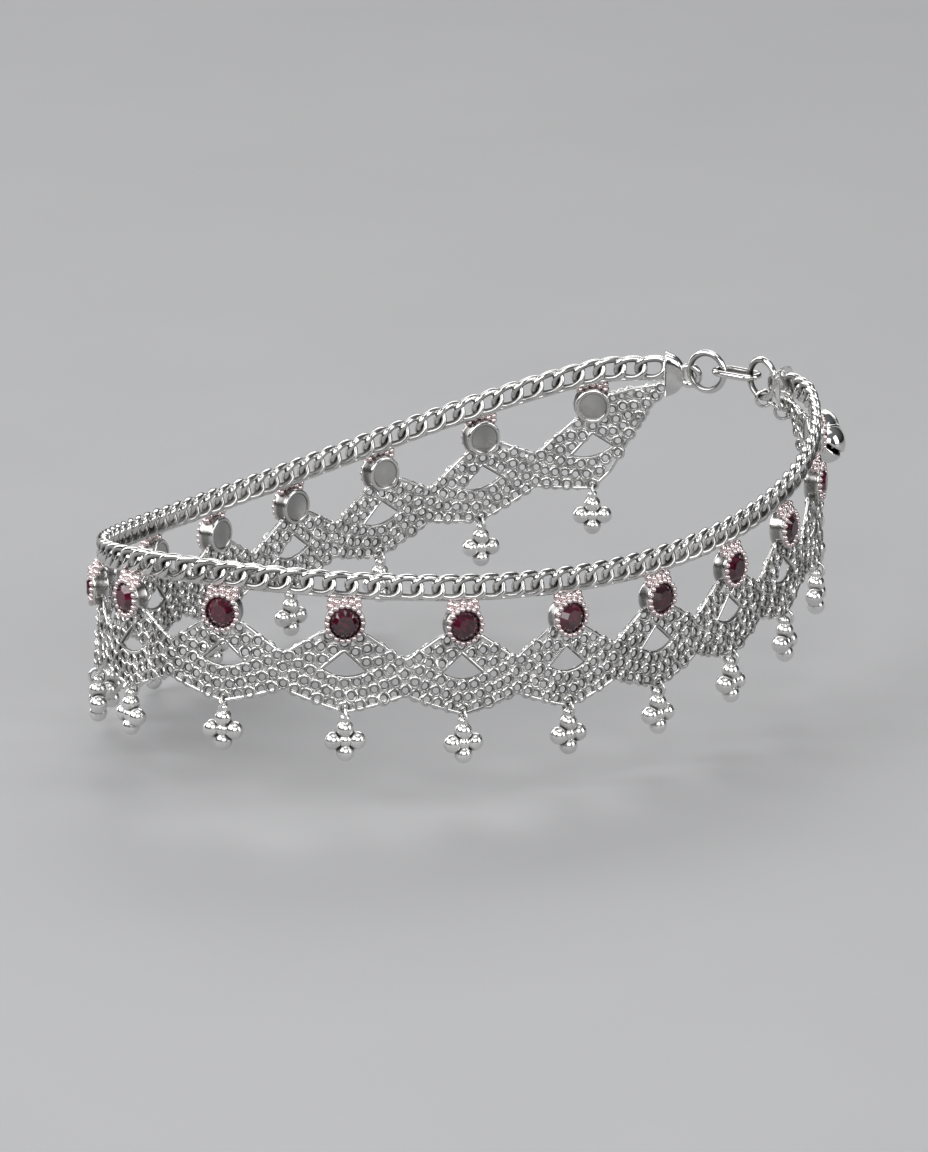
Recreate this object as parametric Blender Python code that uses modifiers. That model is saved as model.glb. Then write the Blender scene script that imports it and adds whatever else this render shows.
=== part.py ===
"""
Filigree anklet in silver with dark red stones, closed as it is worn. Metres, +Z up.

+Y is the heel side, where the clasp is, and -Y is the instep side. The origin is the middle of
the loop at the level of the stones, where the ankle goes through.

A curb chain runs along the top. Under it a net of fine rings hangs in scallops. Each scallop
carries a round setting with a faceted stone, and a drop of silver balls hangs from its lowest
point. The net's two ends are soldered into caps, which two rings and a long link join at the
heel. Two small round bells hang there from a few links.

A place on the band is given by three lengths: along, measured round the stones' line from the
clasp; height, above that line; and out, away from the ankle.
"""
import math

import bmesh
import bpy
import numpy as np
from mathutils import Matrix, Vector

# The line of the stones round the ankle
LOOP_LENGTH = 0.098
LOOP_WIDTH = 0.063
HEEL_RISE = 0.0026
SIDE_LEAN = 0.0016
SIDE_SAG = 0.0034
STONE_COUNT = 18
CLASP_SPAN = 0.035
LOOP_SAMPLES = 2000

# The stones and their settings
STONE_DIAMETER = 0.0032
TABLE_DIAMETER = 0.0019
CROWN_HEIGHT = 0.0006
GIRDLE_HEIGHT = 0.00015
PAVILION_DEPTH = 0.0011
STONE_CLEARANCE = 0.00016
BEZEL_WALL = 0.00044
BEZEL_LIP = 0.00015
BEZEL_TAPER = 0.0002
SETTING_FLOOR = 0.00035
SETTING_BACK = 0.0006
SETTING_SIDES = 12

# The net of rings, with heights below the stones' line
NET_THICKNESS = 0.0008
NET_FLARE = 0.067
NET_SHOULDER = 0.0010
NOTCH_DEPTH = 0.0039
SCALLOP_TOP = 0.0080
SCALLOP_BOTTOM = 0.0101
GAP_TOP = 0.0031
GAP_CORNER = 0.0054
GAP_BOTTOM = 0.0062
GAP_BOW = 0.0002
GAP_WIDTH = 0.0052
EYELET_DIAMETER = 0.00076
EYELET_WALL = 0.00037
EYELET_SIDES = 6
CUT_MARGIN = 0.0028

# The net's outline over half a repeat, as shares:
# (of the half repeat, of the upper edge's fall, of the lower edge's rise)
NET_EDGE = (
    (0.00, 0.00, 0.00),
    (0.30, 0.00, 0.26),
    (0.65, 0.50, 0.60),
    (1.00, 1.00, 1.00),
)
# The net's outline from an outer stone to its cap, as shares:
# (of the reach, of the upper edge's rise, of the lower edge's rise)
NET_END_EDGE = (
    (0.00, 0.00, 0.00),
    (0.24, 0.90, 0.16),
    (0.50, 1.00, 0.52),
    (0.76, 1.00, 0.86),
    (1.00, 1.00, 1.00),
)

# The curb chain along the top
CHAIN_HEIGHT = 0.0030
CHAIN_THICKNESS = 0.0014
CHAIN_CLEARANCE = 0.0003
CHAIN_POINTS = 52
CHAIN_SIDES = 8

# The net's end strips, the end caps and their eyelets
END_STRIP_HEIGHT = 0.0014
END_STRIP_LEVEL = 0.0005
CAP_HEIGHT = 0.0050
CAP_LENGTH = 0.0022
CAP_THICKNESS = 0.0018
CAP_ARC_POINTS = 9
CAP_OVERLAP = 0.0004
CAP_EYE_RADIUS = 0.0011
CAP_EYE_STAND = 0.00055
CAP_EYE_WIRE = 0.0008

# The clasp and the bells at the heel
CLASP_RING_RADIUS = 0.0022
CLASP_RING_WIRE = 0.00076
CLASP_LINK_LENGTH = 0.0056
CLASP_LINK_WIDTH = 0.0028
CLASP_LINK_WIRE = 0.00076
CLASP_PLAY = 0.00019
BELL_DIAMETER = 0.0046
BELL_WALL = 0.0004
BELL_SLIT = 0.0006
BELL_SLIT_REACH = 0.0001
BELL_EYE_RADIUS = 0.0007
BELL_EYE_SINK = 0.0001
BELL_GAP = 0.0001
BELL_LEAN = 55.0
BELL_TURN = -28.0
SMALL_LINK_WIRE = 0.0004
SMALL_LINK_COUNT = 5
LINK_CLEARANCE = 0.0001

# The drops
DROP_BALL = 0.0020
DROP_ARM = 0.00128
DROP_BAIL_RADIUS = 0.0009
DROP_BAIL_WIRE = 0.00036
DROP_BAIL_SINK = 0.00035

# How finely round things are cut
BALL_SEGMENTS = 10
BALL_RINGS = 4
BELL_SEGMENTS = 12
BELL_RINGS = 7
SMALL_SEGMENTS = 10
SMALL_SIDES = 5
LINK_SEGMENTS = 14
LINK_SIDES = 6
LINK_END_STEPS = 6

SILVER = ("silver", (0.82, 0.82, 0.80), 1.0, 0.22)
GARNET = ("garnet", (0.16, 0.008, 0.025), 0.0, 0.06)


def loop_table():
    """The ellipse of the stones' line: its angles and the length along it, from the heel."""
    angle = np.linspace(0.0, 2.0 * math.pi, LOOP_SAMPLES)
    step_x = np.diff(0.5 * LOOP_WIDTH * np.sin(angle))
    step_y = np.diff(0.5 * LOOP_LENGTH * np.cos(angle))
    length = np.concatenate([[0.0], np.cumsum(np.hypot(step_x, step_y))])
    return angle, length


LOOP_ANGLE, LOOP_RUN = loop_table()
LOOP_TOTAL = float(LOOP_RUN[-1])
PITCH = (LOOP_TOTAL - CLASP_SPAN) / (STONE_COUNT - 1)
FIRST_STONE = 0.5 * CLASP_SPAN
LAST_STONE = LOOP_TOTAL - FIRST_STONE
BEZEL_RADIUS = 0.5 * STONE_DIAMETER + STONE_CLEARANCE + BEZEL_WALL
CHAIN_LEVEL = BEZEL_RADIUS + CHAIN_CLEARANCE + 0.5 * CHAIN_HEIGHT
STRIP_TOP = END_STRIP_LEVEL + 0.5 * END_STRIP_HEIGHT
CHAIN_END_LEVEL = STRIP_TOP + CHAIN_CLEARANCE + 0.5 * CHAIN_HEIGHT
CAP_LEVEL = 0.5 * (CHAIN_END_LEVEL + 0.5 * CHAIN_HEIGHT + END_STRIP_LEVEL - 0.5 * END_STRIP_HEIGHT)
RING_REST = 0.5 * (CLASP_LINK_LENGTH - CLASP_LINK_WIRE - CLASP_RING_WIRE) - CLASP_PLAY
RING_PLACE = RING_REST + CLASP_RING_RADIUS
EYE_PLACE = RING_PLACE + CLASP_RING_RADIUS
CAP_FACE = EYE_PLACE + CAP_EYE_STAND + CAP_LENGTH
END_REACH = FIRST_STONE - CAP_FACE
EYELET_LEVEL = EYELET_WALL + 0.5 * EYELET_DIAMETER - SCALLOP_BOTTOM
SMALL_LINK_RADIUS = 0.5 * (CLASP_RING_WIRE + 2.0 * SMALL_LINK_WIRE + 3.0 * LINK_CLEARANCE)
CULET_OUT = SETTING_FLOOR - SETTING_BACK + STONE_CLEARANCE
GIRDLE_OUT = CULET_OUT + PAVILION_DEPTH
RIM_OUT = GIRDLE_OUT + GIRDLE_HEIGHT + BEZEL_LIP


def band_frame(along):
    """Where the stones' line runs, which way it goes, and which way is out, all as vectors."""
    angle = float(np.interp(along % LOOP_TOTAL, LOOP_RUN, LOOP_ANGLE))
    height = (HEEL_RISE * math.cos(angle) + SIDE_LEAN * math.sin(angle)
              + SIDE_SAG * math.cos(2.0 * angle))
    place = Vector((0.5 * LOOP_WIDTH * math.sin(angle), 0.5 * LOOP_LENGTH * math.cos(angle), height))
    onward = Vector((LOOP_WIDTH * math.cos(angle), -LOOP_LENGTH * math.sin(angle), 0.0)).normalized()
    outward = Vector((-onward.y, onward.x, 0.0))
    return place, onward, outward


def band_point(along, height, out=0.0):
    """A point of the band, which leans outwards below the stones' line."""
    place, _, outward = band_frame(along)
    lean = NET_FLARE * max(0.0, -height)
    return place + outward * (out + lean) + Vector((0.0, 0.0, height))


def band_matrix(along, height, out=0.0):
    """Stands a piece on the band: its X onward, its Y outward and its Z up."""
    _, onward, outward = band_frame(along)
    turn = Matrix((onward, outward, Vector((0.0, 0.0, 1.0)))).transposed()
    return Matrix.Translation(band_point(along, height, out)) @ turn.to_4x4()


def make_material(finish):
    name, colour, metallic, roughness = finish
    material = bpy.data.materials.get(name) or bpy.data.materials.new(name)
    material.use_nodes = True
    shader = material.node_tree.nodes["Principled BSDF"]
    shader.inputs["Base Color"].default_value = (*colour, 1.0)
    shader.inputs["Metallic"].default_value = metallic
    shader.inputs["Roughness"].default_value = roughness
    return material


def new_collection(name):
    collection = bpy.data.collections.new(name)
    bpy.context.scene.collection.children.link(collection)
    return collection


def add_object(name, mesh, collection, matrix=None):
    item = bpy.data.objects.new(name, mesh)
    collection.objects.link(item)
    if matrix is not None:
        item.matrix_world = matrix
    return item


def finish_mesh(mesh, finish):
    mesh.materials.clear()
    mesh.materials.append(make_material(finish))
    mesh.shade_smooth()
    mesh.set_sharp_from_angle(angle=math.radians(35))


def mesh_from_bmesh(name, form):
    bmesh.ops.recalc_face_normals(form, faces=form.faces)
    mesh = bpy.data.meshes.new(name)
    form.to_mesh(mesh)
    form.free()
    return mesh


def mesh_from_curve(name, data, collection):
    """Turns a curve into a closed mesh, with its end caps welded on."""
    guide = add_object(name + "_curve", data, collection)
    evaluated = guide.evaluated_get(bpy.context.evaluated_depsgraph_get())
    mesh = bpy.data.meshes.new_from_object(evaluated)
    bpy.data.objects.remove(guide)
    form = bmesh.new()
    form.from_mesh(mesh)
    bmesh.ops.remove_doubles(form, verts=form.verts, dist=0.00001)
    bpy.data.meshes.remove(mesh)
    return mesh_from_bmesh(name, form)


def poly_curve(name, points, closed=False, flat=False):
    data = bpy.data.curves.new(name, "CURVE")
    data.dimensions = "2D" if flat else "3D"
    spline = data.splines.new("POLY")
    spline.points.add(len(points) - 1)
    for target, point in zip(spline.points, points):
        target.co = (*point, 1.0)
    spline.use_cyclic_u = closed
    return data


def wire_mesh(name, points, wire, collection, closed=False):
    """A round wire of the given thickness, bent along points."""
    data = poly_curve(name, points, closed)
    data.bevel_depth = 0.5 * wire
    data.bevel_resolution = 1
    data.use_fill_caps = not closed
    data.twist_mode = "MINIMUM"
    return mesh_from_curve(name, data, collection)


def plate_mesh(name, outline, thickness, collection):
    """A flat plate with the given outline."""
    data = poly_curve(name, [(x, y, 0.0) for x, y in outline], closed=True, flat=True)
    data.fill_mode = "BOTH"
    data.extrude = 0.5 * thickness
    return mesh_from_curve(name, data, collection)


def boolean(target, cutter, operation):
    modifier = target.modifiers.new(operation.lower() + "_" + cutter.name, "BOOLEAN")
    modifier.operation = operation
    modifier.object = cutter
    modifier.solver = "EXACT"
    return modifier


def apply_modifiers(item):
    """Bakes an object's modifiers into its mesh."""
    evaluated = item.evaluated_get(bpy.context.evaluated_depsgraph_get())
    mesh = bpy.data.meshes.new_from_object(evaluated)
    item.modifiers.clear()
    item.data = mesh


def hide_cutter(item):
    item.hide_render = True
    item.display_type = "WIRE"


def join_meshes(name, placed):
    """One mesh of several, each a mesh with the matrix that places it."""
    form = bmesh.new()
    for mesh, matrix in placed:
        first = len(form.verts)
        form.from_mesh(mesh)
        form.verts.ensure_lookup_table()
        bmesh.ops.transform(form, matrix=matrix, verts=form.verts[first:])
    joined = bpy.data.meshes.new(name)
    form.to_mesh(joined)
    form.free()
    return joined


def stone_places():
    return [FIRST_STONE + PITCH * index for index in range(STONE_COUNT)]


def net_edges(along):
    """The heights of the net's upper and lower edge at a length along the loop."""
    low, high = -SCALLOP_BOTTOM, -NET_SHOULDER
    beyond = max(FIRST_STONE - along, along - LAST_STONE)
    if beyond > 0.0:
        share = beyond / END_REACH
        table = NET_END_EDGE
        high_end = STRIP_TOP
        low_end = STRIP_TOP - END_STRIP_HEIGHT
    else:
        repeats = (along - FIRST_STONE) / PITCH
        share = 2.0 * abs(repeats - round(repeats))
        table = NET_EDGE
        high_end = -NOTCH_DEPTH
        low_end = -SCALLOP_TOP
    shares, falls, rises = zip(*table)
    upper = high + (high_end - high) * np.interp(share, shares, falls)
    lower = low + (low_end - low) * np.interp(share, shares, rises)
    return float(upper), float(lower)


def net_columns():
    """The lengths along the loop where the net's sheet has an edge across it."""
    columns = []
    for place in stone_places():
        for share, _, _ in NET_EDGE:
            columns += [place - 0.5 * PITCH * share, place + 0.5 * PITCH * share]
    columns = [place for place in columns if FIRST_STONE <= place <= LAST_STONE]
    for share, _, _ in NET_END_EDGE:
        columns += [FIRST_STONE - END_REACH * share, LAST_STONE + END_REACH * share]
    columns += [CAP_FACE - CAP_OVERLAP, LOOP_TOTAL - CAP_FACE + CAP_OVERLAP]
    return sorted({round(place, 7) for place in columns})


def net_sheet():
    """The net's sheet: a grid whose columns stand at the net's edges, given its thickness."""
    columns = net_columns()
    form = bmesh.new()
    bmesh.ops.create_grid(form, x_segments=len(columns) - 1, y_segments=1, size=0.5)
    for vertex in form.verts:
        column = columns[round((vertex.co.x + 0.5) * (len(columns) - 1))]
        upper, lower = net_edges(column)
        vertex.co = band_point(column, upper if vertex.co.y > 0.0 else lower)
    mesh = bpy.data.meshes.new("net_sheet")
    form.to_mesh(mesh)
    form.free()
    return mesh


def net_gap_mesh(collection):
    """Cuts the three-cornered gap under a stone."""
    half = 0.5 * GAP_WIDTH
    side = GAP_BOW - GAP_BOTTOM
    outline = ((0.0, -GAP_TOP), (-half, -GAP_CORNER), (-0.5 * half, side), (0.0, -GAP_BOTTOM),
               (0.5 * half, side), (half, -GAP_CORNER))
    mesh = plate_mesh("net_gap", outline, NET_THICKNESS + 2.0 * CUT_MARGIN, collection)
    mesh.transform(Matrix.Rotation(math.radians(90), 4, "X"))
    return mesh


def cylinder_mesh(name, low_radius, high_radius, low, high, sides):
    """A cylinder or cone whose axis points outwards, between two distances out."""
    form = bmesh.new()
    bmesh.ops.create_cone(form, cap_ends=True, segments=sides, radius1=low_radius,
                          radius2=high_radius, depth=high - low)
    turn = Matrix.Rotation(math.radians(-90), 4, "X")
    bmesh.ops.transform(form, matrix=Matrix.Translation((0, 0.5 * (low + high), 0)) @ turn,
                        verts=form.verts)
    return mesh_from_bmesh(name, form)


def cap_mesh(collection):
    """A half-round end cap: flat towards the net, round towards the clasp."""
    outline = []
    for index in range(CAP_ARC_POINTS):
        turn = math.pi * (index / (CAP_ARC_POINTS - 1) - 0.5)
        outline.append((-CAP_LENGTH * math.cos(turn), 0.5 * CAP_HEIGHT * math.sin(turn)))
    mesh = plate_mesh("cap", outline, CAP_THICKNESS, collection)
    mesh.transform(Matrix.Rotation(math.radians(90), 4, "X"))
    return mesh


def torus_mesh(name, radius, wire, segments=LINK_SEGMENTS, sides=LINK_SIDES):
    """A round ring lying flat, made of points round a circle."""
    form = bmesh.new()
    turns = [2.0 * math.pi * index / segments for index in range(segments)]
    rings = []
    for turn in turns:
        ring = []
        for side in range(sides):
            angle = 2.0 * math.pi * side / sides
            reach = radius + 0.5 * wire * math.cos(angle)
            ring.append(form.verts.new((reach * math.cos(turn), reach * math.sin(turn),
                                        0.5 * wire * math.sin(angle))))
        rings.append(ring)
    for first, second in zip(rings, rings[1:] + rings[:1]):
        for side in range(sides):
            after = (side + 1) % sides
            form.faces.new((first[side], second[side], second[after], first[after]))
    return mesh_from_bmesh(name, form)


def ball_mesh(name, diameter, segments, rings):
    form = bmesh.new()
    bmesh.ops.create_uvsphere(form, u_segments=segments, v_segments=rings, radius=0.5 * diameter)
    return mesh_from_bmesh(name, form)


def build_net(parts, cutters):
    """The net with its settings and end caps, soldered into one solid."""
    net = add_object("net", net_sheet(), parts)
    solidify = net.modifiers.new("thickness", "SOLIDIFY")
    solidify.thickness = NET_THICKNESS
    solidify.offset = 0.0
    solidify.use_even_offset = True
    places = [band_matrix(place, 0.0) for place in stone_places()]

    gap = net_gap_mesh(cutters)
    reach = 0.5 * NET_THICKNESS + CUT_MARGIN
    eyelet = cylinder_mesh("eyelet", 0.5 * EYELET_DIAMETER, 0.5 * EYELET_DIAMETER, -reach, reach,
                           EYELET_SIDES)
    down = Matrix.Translation((0.0, NET_FLARE * -EYELET_LEVEL, EYELET_LEVEL))
    holes = join_meshes("net_holes", [(gap, place) for place in places]
                        + [(eyelet, place @ down) for place in places])
    hole_cutter = add_object("net_holes", holes, cutters)
    boolean(net, hole_cutter, "DIFFERENCE")

    cup = cylinder_mesh("cup", BEZEL_RADIUS - BEZEL_TAPER, BEZEL_RADIUS, -SETTING_BACK, RIM_OUT,
                        SETTING_SIDES)
    cap = cap_mesh(cutters)
    eye = torus_mesh("eye", CAP_EYE_RADIUS, CAP_EYE_WIRE)
    mirror = Matrix.Scale(-1.0, 4, (1.0, 0.0, 0.0))
    solder = [(cup, place) for place in places]
    for side, flip in ((CAP_FACE, Matrix.Identity(4)), (LOOP_TOTAL - CAP_FACE, mirror)):
        solder.append((cap, band_matrix(side, CAP_LEVEL) @ flip))
    for side in (EYE_PLACE, LOOP_TOTAL - EYE_PLACE):
        solder.append((eye, band_matrix(side, CAP_LEVEL)))
    solder_object = add_object("net_solder", clean_normals(join_meshes("net_solder", solder)), cutters)
    join = boolean(net, solder_object, "UNION")
    join.use_self = True

    cavity = cylinder_mesh("cavity", 0.5 * STONE_DIAMETER + STONE_CLEARANCE,
                           0.5 * STONE_DIAMETER + STONE_CLEARANCE,
                           SETTING_FLOOR - SETTING_BACK, RIM_OUT + CUT_MARGIN, SETTING_SIDES)
    cavities = join_meshes("stone_seats", [(cavity, place) for place in places])
    boolean(net, add_object("stone_seats", cavities, cutters), "DIFFERENCE")
    apply_modifiers(net)
    finish_mesh(net.data, SILVER)
    return net


def clean_normals(mesh):
    """Turns each closed body of a joined mesh the right way out."""
    form = bmesh.new()
    form.from_mesh(mesh)
    bmesh.ops.recalc_face_normals(form, faces=form.faces)
    form.to_mesh(mesh)
    form.free()
    return mesh


def chain_level(along):
    """The height of the curb chain's middle, which comes down to the caps at both ends."""
    beyond = max(FIRST_STONE - along, along - LAST_STONE, 0.0)
    share = min(beyond / END_REACH, 1.0)
    ease = share * share * (3.0 - 2.0 * share)
    return CHAIN_LEVEL + (CHAIN_END_LEVEL - CHAIN_LEVEL) * ease


def build_chain(parts, cutters):
    """The curb chain's body, a tube of its height and thickness from cap to cap."""
    start = CAP_FACE + CHAIN_CLEARANCE
    run = LOOP_TOTAL - 2.0 * start
    places = [start + run * index / (CHAIN_POINTS - 1) for index in range(CHAIN_POINTS)]
    data = poly_curve("top_chain", [band_point(place, chain_level(place)) for place in places])
    turns = [2.0 * math.pi * (side + 0.5) / CHAIN_SIDES for side in range(CHAIN_SIDES)]
    oval = [(0.5 * CHAIN_THICKNESS * math.cos(turn), 0.5 * CHAIN_HEIGHT * math.sin(turn), 0.0)
            for turn in turns]
    profile = add_object("chain_section", poly_curve("chain_section", oval, closed=True, flat=True),
                         cutters)
    hide_cutter(profile)
    data.bevel_mode = "OBJECT"
    data.bevel_object = profile
    data.use_fill_caps = True
    data.twist_mode = "Z_UP"
    mesh = mesh_from_curve("top_chain", data, cutters)
    finish_mesh(mesh, SILVER)
    return add_object("top_chain", mesh, parts)


def stone_mesh():
    """A round cut stone: an eight-sided table, a girdle and a pointed pavilion."""
    levels = (
        (0.5 * TABLE_DIAMETER, GIRDLE_OUT + GIRDLE_HEIGHT + CROWN_HEIGHT, 8, 0.0),
        (0.5 * STONE_DIAMETER, GIRDLE_OUT + GIRDLE_HEIGHT, 16, 0.5),
        (0.5 * STONE_DIAMETER, GIRDLE_OUT, 16, 0.5),
    )
    form = bmesh.new()
    for radius, out, sides, shift in levels:
        for side in range(sides):
            turn = 2.0 * math.pi * (side + shift) / sides
            form.verts.new((radius * math.cos(turn), out, radius * math.sin(turn)))
    form.verts.new((0.0, CULET_OUT, 0.0))
    bmesh.ops.convex_hull(form, input=form.verts)
    mesh = mesh_from_bmesh("stone", form)
    finish_mesh(mesh, GARNET)
    mesh.shade_flat()
    return mesh


def build_stones(parts):
    mesh = stone_mesh()
    for index, place in enumerate(stone_places()):
        add_object(f"stone_{index + 1:02d}", mesh, parts, band_matrix(place, 0.0))


def fuse(item, pieces, cutters, operation="UNION"):
    """Joins pieces to an object, or cuts them out of it, and bakes that into its mesh."""
    for index, (mesh, matrix) in enumerate(pieces):
        piece = add_object(f"{item.name}_{operation.lower()}_{index}", mesh, cutters, matrix)
        hide_cutter(piece)
        boolean(item, piece, operation)
    bpy.context.view_layer.update()
    apply_modifiers(item)
    for piece in [piece for piece in cutters.objects if piece.name.startswith(item.name + "_")]:
        bpy.data.objects.remove(piece)


def drop_mesh(parts, cutters):
    """A drop: a bail through the net's eyelet, over four soldered balls set crosswise."""
    bail = torus_mesh("bail", DROP_BAIL_RADIUS, DROP_BAIL_WIRE, SMALL_SEGMENTS, SMALL_SIDES)
    bail.transform(Matrix.Rotation(math.radians(90), 4, "Y"))
    top = DROP_BAIL_SINK - DROP_BAIL_RADIUS - 0.5 * DROP_BALL
    middle = top - DROP_ARM
    spots = ((0.0, top), (-DROP_ARM, middle), (DROP_ARM, middle), (0.0, middle - DROP_ARM))
    ball = ball_mesh("ball", DROP_BALL, BALL_SEGMENTS, BALL_RINGS)
    ball.transform(Matrix.Rotation(math.radians(90), 4, "X"))
    drop = add_object("drop", bail, parts)
    fuse(drop, [(ball, Matrix.Translation((side, 0.0, height))) for side, height in spots], cutters)
    mesh = drop.data
    bpy.data.objects.remove(drop)
    finish_mesh(mesh, SILVER)
    return mesh


def build_drops(parts, cutters):
    mesh = drop_mesh(parts, cutters)
    hang = Matrix.Translation((0.0, 0.0, -DROP_BAIL_RADIUS))
    for index, place in enumerate(stone_places()):
        add_object(f"drop_{index + 1:02d}", mesh, parts, band_matrix(place, EYELET_LEVEL) @ hang)


def build_clasp(parts, cutters):
    """The two rings through the caps' eyelets, and the long link that joins them."""
    ring = torus_mesh("clasp_ring", CLASP_RING_RADIUS, CLASP_RING_WIRE)
    ring.transform(Matrix.Rotation(math.radians(90), 4, "X"))
    finish_mesh(ring, SILVER)
    add_object("clasp_ring_1", ring, parts, band_matrix(RING_PLACE, CAP_LEVEL))
    add_object("clasp_ring_2", ring, parts, band_matrix(-RING_PLACE, CAP_LEVEL))
    bend = 0.5 * CLASP_LINK_WIDTH
    reach = 0.5 * CLASP_LINK_LENGTH - bend
    turns = [math.pi * (step / LINK_END_STEPS - 0.5) for step in range(LINK_END_STEPS + 1)]
    right = [(reach + bend * math.cos(turn), bend * math.sin(turn), 0.0) for turn in turns]
    left = [(-x, -y, z) for x, y, z in right]
    link = wire_mesh("clasp_link", right + left, CLASP_LINK_WIRE, cutters, closed=True)
    finish_mesh(link, SILVER)
    add_object("clasp_link", link, parts, band_matrix(0.0, CAP_LEVEL))


def bell_mesh(parts, cutters):
    """A round bell under its eye, hollow and slit across its foot. It hangs from the origin."""
    eye_drop = BELL_EYE_RADIUS - SMALL_LINK_WIRE - LINK_CLEARANCE
    middle = eye_drop + BELL_EYE_RADIUS + 0.5 * BELL_DIAMETER - BELL_EYE_SINK
    down = Matrix.Translation((0.0, 0.0, -middle))
    shell = add_object("bell", ball_mesh("bell", BELL_DIAMETER, BELL_SEGMENTS, BELL_RINGS), parts)
    shell.data.transform(down)
    eye = torus_mesh("bell_eye", BELL_EYE_RADIUS, SMALL_LINK_WIRE, SMALL_SEGMENTS, SMALL_SIDES)
    eye.transform(Matrix.Translation((0.0, 0.0, -eye_drop)) @ Matrix.Rotation(math.radians(90), 4, "X"))
    fuse(shell, [(eye, Matrix.Identity(4))], cutters)
    hollow = ball_mesh("hollow", BELL_DIAMETER - 2.0 * BELL_WALL, SMALL_SEGMENTS, BELL_RINGS - 1)
    slit = bmesh.new()
    bmesh.ops.create_cube(slit, size=1.0)
    height = 0.5 * BELL_DIAMETER + BELL_SLIT_REACH
    place = Matrix.Translation((0.0, 0.0, -middle - 0.5 * height - BELL_SLIT_REACH))
    size = Matrix.Diagonal((2.0 * BELL_DIAMETER, BELL_SLIT, height, 1.0))
    bmesh.ops.transform(slit, matrix=place @ size, verts=slit.verts)
    fuse(shell, [(hollow, down), (mesh_from_bmesh("slit", slit), Matrix.Identity(4))], cutters,
         "DIFFERENCE")
    mesh = shell.data
    bpy.data.objects.remove(shell)
    finish_mesh(mesh, SILVER)
    return mesh, middle


def build_bells(parts, cutters):
    """Small links that hang from the first ring, leaning outwards and away from the clasp, and
    two bells on the last."""
    lean = (Matrix.Rotation(math.radians(BELL_TURN), 4, "Z")
            @ Matrix.Rotation(math.radians(BELL_LEAN), 4, "X"))
    hang = band_matrix(RING_PLACE, CAP_LEVEL - CLASP_RING_RADIUS) @ lean
    link = torus_mesh("bell_link", SMALL_LINK_RADIUS, SMALL_LINK_WIRE, SMALL_SEGMENTS, SMALL_SIDES)
    finish_mesh(link, SILVER)
    seat = 0.5 * (CLASP_RING_WIRE + SMALL_LINK_WIRE) + LINK_CLEARANCE
    step = 2.0 * SMALL_LINK_RADIUS - SMALL_LINK_WIRE - LINK_CLEARANCE
    low = seat - SMALL_LINK_RADIUS
    for index in range(SMALL_LINK_COUNT):
        axis = "Y" if index % 2 == 0 else "X"
        turn = Matrix.Rotation(math.radians(90), 4, axis)
        place = Matrix.Translation((0.0, 0.0, low - step * index))
        add_object(f"bell_link_{index + 1}", link, parts, hang @ place @ turn)
    bell, middle = bell_mesh(parts, cutters)
    foot = low - step * (SMALL_LINK_COUNT - 1) - SMALL_LINK_RADIUS
    splay = math.asin(0.5 * (BELL_DIAMETER + BELL_GAP) / middle)
    apart = 0.5 * (SMALL_LINK_WIRE + LINK_CLEARANCE)
    for index, side in enumerate((1.0, -1.0)):
        place = Matrix.Translation((0.0, side * apart, foot))
        add_object(f"bell_{index + 1}", bell, parts,
                   hang @ place @ Matrix.Rotation(side * splay, 4, "Y"))


def build_all():
    for item in list(bpy.data.objects):
        bpy.data.objects.remove(item)
    parts = new_collection("filigree_anklet")
    cutters = new_collection("cutters")
    build_net(parts, cutters)
    build_chain(parts, cutters)
    build_stones(parts)
    build_drops(parts, cutters)
    build_clasp(parts, cutters)
    build_bells(parts, cutters)
    for item in cutters.objects:
        hide_cutter(item)


build_all()
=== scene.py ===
"""
The filigree anklet's looks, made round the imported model. Metres, +Z up.

A place on the band is given by three lengths: along, measured round the stones' line from the
clasp; height, above that line; and out, away from the middle of the loop. A piece's own points
are given onward, outward and upward from where it stands.
"""

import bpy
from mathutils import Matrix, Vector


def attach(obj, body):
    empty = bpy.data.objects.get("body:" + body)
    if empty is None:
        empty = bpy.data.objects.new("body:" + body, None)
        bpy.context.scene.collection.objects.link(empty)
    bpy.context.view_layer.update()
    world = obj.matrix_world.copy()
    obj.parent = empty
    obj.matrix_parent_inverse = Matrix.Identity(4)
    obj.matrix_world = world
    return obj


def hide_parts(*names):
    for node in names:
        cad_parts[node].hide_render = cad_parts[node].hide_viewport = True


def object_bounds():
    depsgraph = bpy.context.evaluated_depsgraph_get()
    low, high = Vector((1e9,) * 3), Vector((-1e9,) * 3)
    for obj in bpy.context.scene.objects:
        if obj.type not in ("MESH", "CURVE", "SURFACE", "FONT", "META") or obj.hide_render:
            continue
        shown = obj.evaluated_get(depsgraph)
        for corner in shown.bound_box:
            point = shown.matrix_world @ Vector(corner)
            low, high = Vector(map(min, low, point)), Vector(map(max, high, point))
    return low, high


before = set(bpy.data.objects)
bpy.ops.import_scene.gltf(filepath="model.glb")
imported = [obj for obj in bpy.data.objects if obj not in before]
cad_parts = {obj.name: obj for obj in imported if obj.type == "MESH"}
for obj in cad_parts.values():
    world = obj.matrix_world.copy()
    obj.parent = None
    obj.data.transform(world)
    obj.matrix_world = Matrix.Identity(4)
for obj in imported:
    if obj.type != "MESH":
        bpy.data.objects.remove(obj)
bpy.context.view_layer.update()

import math

import bpy
import numpy as np
from mathutils import Vector

TAU = 2.0 * math.pi

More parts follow.
